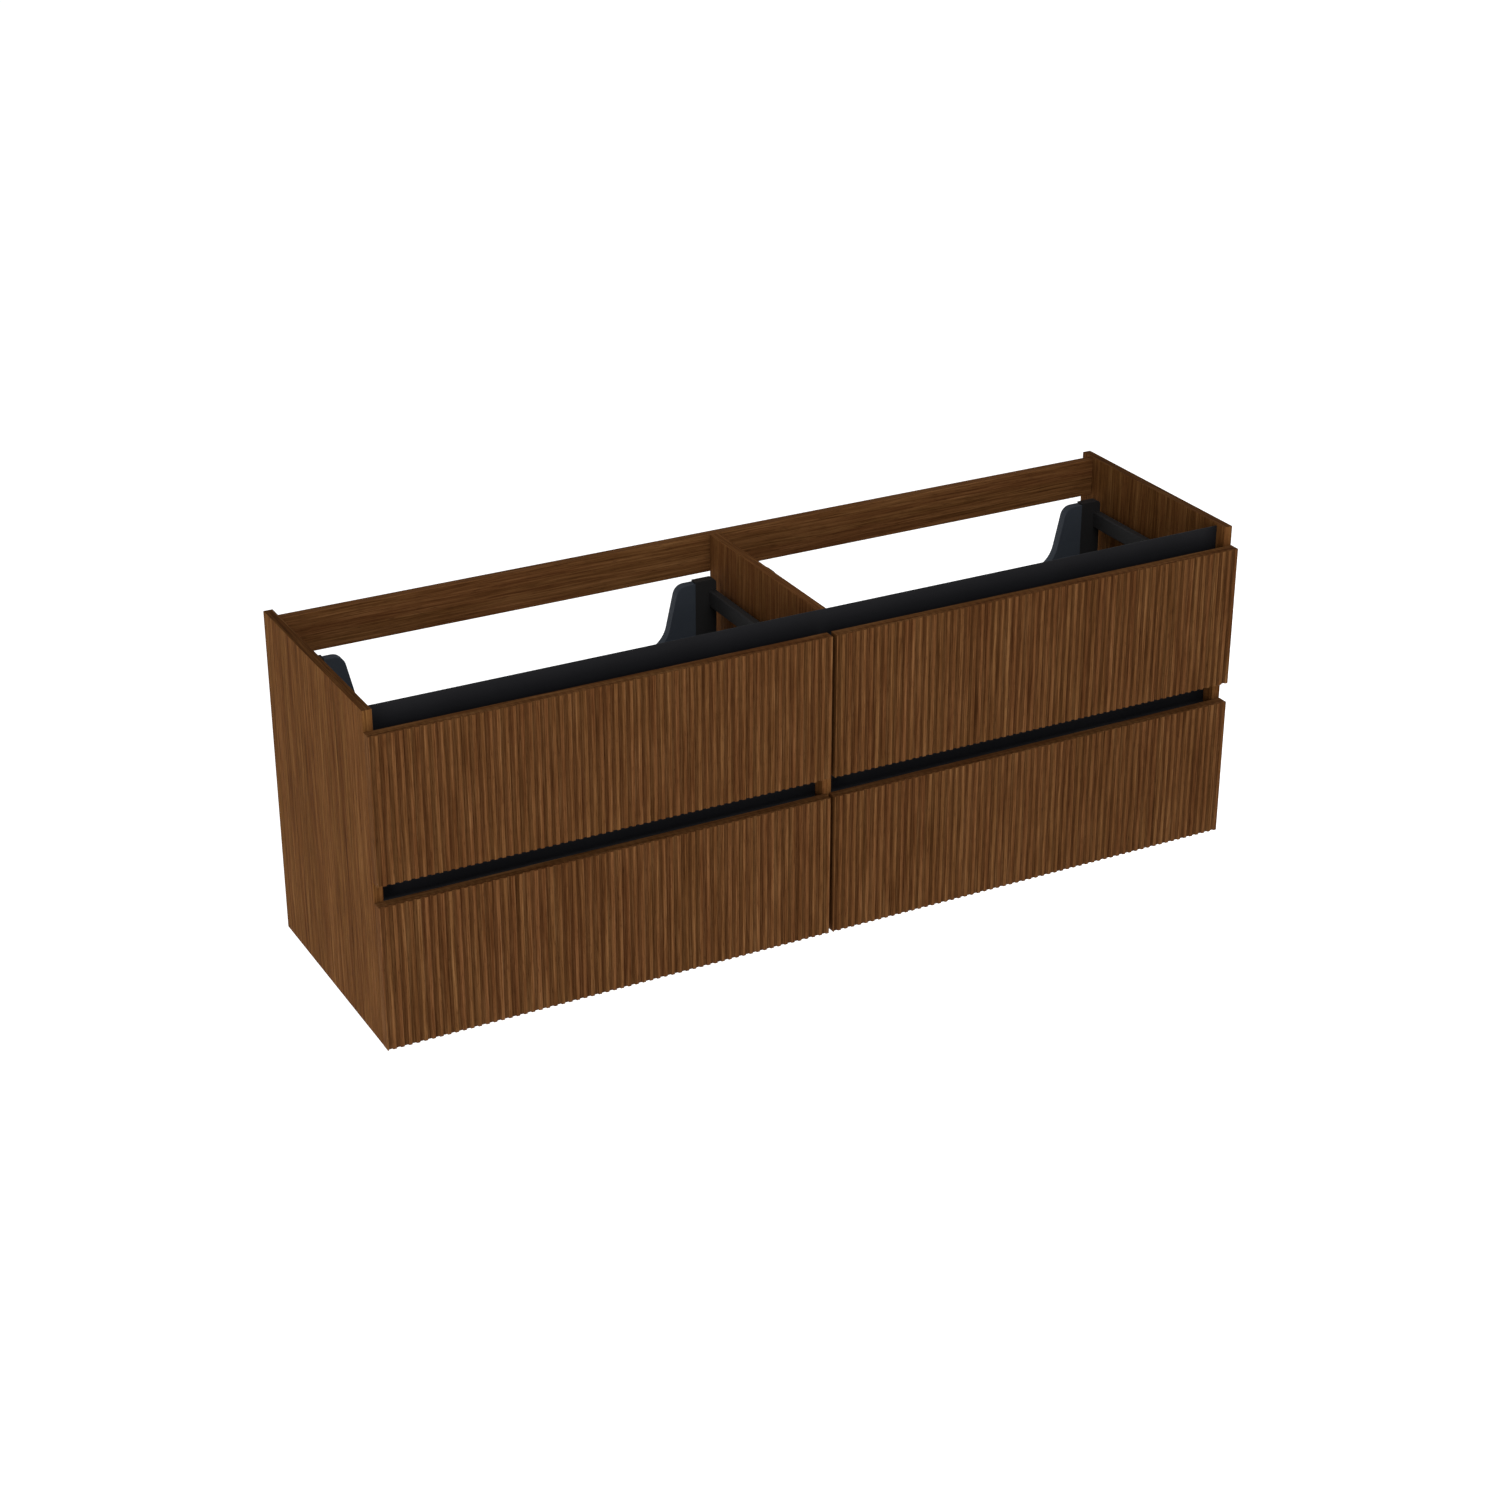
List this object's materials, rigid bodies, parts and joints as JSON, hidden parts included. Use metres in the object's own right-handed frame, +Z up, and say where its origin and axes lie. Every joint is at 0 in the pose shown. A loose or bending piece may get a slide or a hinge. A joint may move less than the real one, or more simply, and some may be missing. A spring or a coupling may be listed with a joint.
{
  "type": "bathroom vanity cabinet",
  "caption": "Wide wall-hung vanity base with vertically ribbed drawer fronts in two bays, recessed grip profiles, open top for basins, and upper drawers cut out around the siphons.",
  "frame": {"origin": "on the wall plane, at the centre of the four wall-screw holes in the hanging brackets", "axes": "+X across the cabinet to its right as seen by a user facing it, +Y into the wall, +Z up; the fronts face -Y and the drawers open along -Y"},
  "size_m": [1.6, 0.454, 0.58],
  "materials": {
    "walnut_veneer": "matt lacquered walnut veneer",
    "black_aluminium": "satin black anodised",
    "anthracite_steel": "fine-textured anthracite powder coat",
    "anthracite_board": "matt anthracite melamine board",
    "slide_steel": "bright zinc plated",
    "zinc_steel": "zinc plated",
    "zinc_screw": "zinc plated screw"
  },
  "bodies": {
    "carcass": {"side_panel_left": "walnut_veneer", "side_panel_right": "walnut_veneer", "centre_panel": "walnut_veneer", "bottom_panel": "walnut_veneer", "rear_top_rail": "walnut_veneer", "rear_lower_rail": "walnut_veneer", "top_grip_profile": "black_aluminium", "middle_grip_profile_left": "black_aluminium", "middle_grip_profile_right": "black_aluminium", "hanging_bracket_left": "zinc_steel", "hanging_bracket_right": "zinc_steel", "hanging_bracket_screws": "zinc_screw", "upper_left_carcass_slides": "slide_steel", "upper_right_carcass_slides": "slide_steel", "lower_left_carcass_slides": "slide_steel", "lower_right_carcass_slides": "slide_steel"},
    "upper_left_drawer": {"upper_left_drawer_front": "walnut_veneer", "upper_left_drawer_base": "anthracite_board", "upper_left_drawer_back": "anthracite_board", "upper_left_drawer_front_brackets": "anthracite_steel", "upper_left_drawer_side_left": "anthracite_steel", "upper_left_drawer_side_right": "anthracite_steel", "upper_left_drawer_gallery_rail_left": "anthracite_steel", "upper_left_drawer_gallery_rail_right": "anthracite_steel", "upper_left_drawer_rear_bracket_left": "anthracite_steel", "upper_left_drawer_rear_bracket_right": "anthracite_steel"},
    "upper_left_middle_slides": {"upper_left_middle_slides": "slide_steel"},
    "upper_right_drawer": {"upper_right_drawer_front": "walnut_veneer", "upper_right_drawer_base": "anthracite_board", "upper_right_drawer_back": "anthracite_board", "upper_right_drawer_front_brackets": "anthracite_steel", "upper_right_drawer_side_left": "anthracite_steel", "upper_right_drawer_side_right": "anthracite_steel", "upper_right_drawer_gallery_rail_left": "anthracite_steel", "upper_right_drawer_gallery_rail_right": "anthracite_steel", "upper_right_drawer_rear_bracket_left": "anthracite_steel", "upper_right_drawer_rear_bracket_right": "anthracite_steel"},
    "upper_right_middle_slides": {"upper_right_middle_slides": "slide_steel"},
    "lower_left_drawer": {"lower_left_drawer_front": "walnut_veneer", "lower_left_drawer_base": "anthracite_board", "lower_left_drawer_back": "anthracite_board", "lower_left_drawer_front_brackets": "anthracite_steel", "lower_left_drawer_side_left": "anthracite_steel", "lower_left_drawer_side_right": "anthracite_steel", "lower_left_drawer_gallery_rail_left": "anthracite_steel", "lower_left_drawer_gallery_rail_right": "anthracite_steel", "lower_left_drawer_rear_bracket_left": "anthracite_steel", "lower_left_drawer_rear_bracket_right": "anthracite_steel"},
    "lower_left_middle_slides": {"lower_left_middle_slides": "slide_steel"},
    "lower_right_drawer": {"lower_right_drawer_front": "walnut_veneer", "lower_right_drawer_base": "anthracite_board", "lower_right_drawer_back": "anthracite_board", "lower_right_drawer_front_brackets": "anthracite_steel", "lower_right_drawer_side_left": "anthracite_steel", "lower_right_drawer_side_right": "anthracite_steel", "lower_right_drawer_gallery_rail_left": "anthracite_steel", "lower_right_drawer_gallery_rail_right": "anthracite_steel", "lower_right_drawer_rear_bracket_left": "anthracite_steel", "lower_right_drawer_rear_bracket_right": "anthracite_steel"},
    "lower_right_middle_slides": {"lower_right_middle_slides": "slide_steel"}
  },
  "joints": [
    {"name": "upper_left_drawer_slide", "type": "slide", "parent": "carcass", "child": "upper_left_drawer", "axis": [0, -1, 0], "range_m": [0, 0.335]},
    {"name": "upper_left_middle_slide", "type": "slide", "parent": "carcass", "child": "upper_left_middle_slides", "axis": [0, -1, 0], "range_m": [0, 0.1675]},
    {"name": "upper_right_drawer_slide", "type": "slide", "parent": "carcass", "child": "upper_right_drawer", "axis": [0, -1, 0], "range_m": [0, 0.335]},
    {"name": "upper_right_middle_slide", "type": "slide", "parent": "carcass", "child": "upper_right_middle_slides", "axis": [0, -1, 0], "range_m": [0, 0.1675]},
    {"name": "lower_left_drawer_slide", "type": "slide", "parent": "carcass", "child": "lower_left_drawer", "axis": [0, -1, 0], "range_m": [0, 0.335]},
    {"name": "lower_left_middle_slide", "type": "slide", "parent": "carcass", "child": "lower_left_middle_slides", "axis": [0, -1, 0], "range_m": [0, 0.1675]},
    {"name": "lower_right_drawer_slide", "type": "slide", "parent": "carcass", "child": "lower_right_drawer", "axis": [0, -1, 0], "range_m": [0, 0.335]},
    {"name": "lower_right_middle_slide", "type": "slide", "parent": "carcass", "child": "lower_right_middle_slides", "axis": [0, -1, 0], "range_m": [0, 0.1675]}
  ],
  "couplings": [
    {"joint": "upper_left_middle_slide", "follows": "upper_left_drawer_slide", "ratio": 0.5},
    {"joint": "upper_right_middle_slide", "follows": "upper_right_drawer_slide", "ratio": 0.5},
    {"joint": "lower_left_middle_slide", "follows": "lower_left_drawer_slide", "ratio": 0.5},
    {"joint": "lower_right_middle_slide", "follows": "lower_right_drawer_slide", "ratio": 0.5}
  ]
}
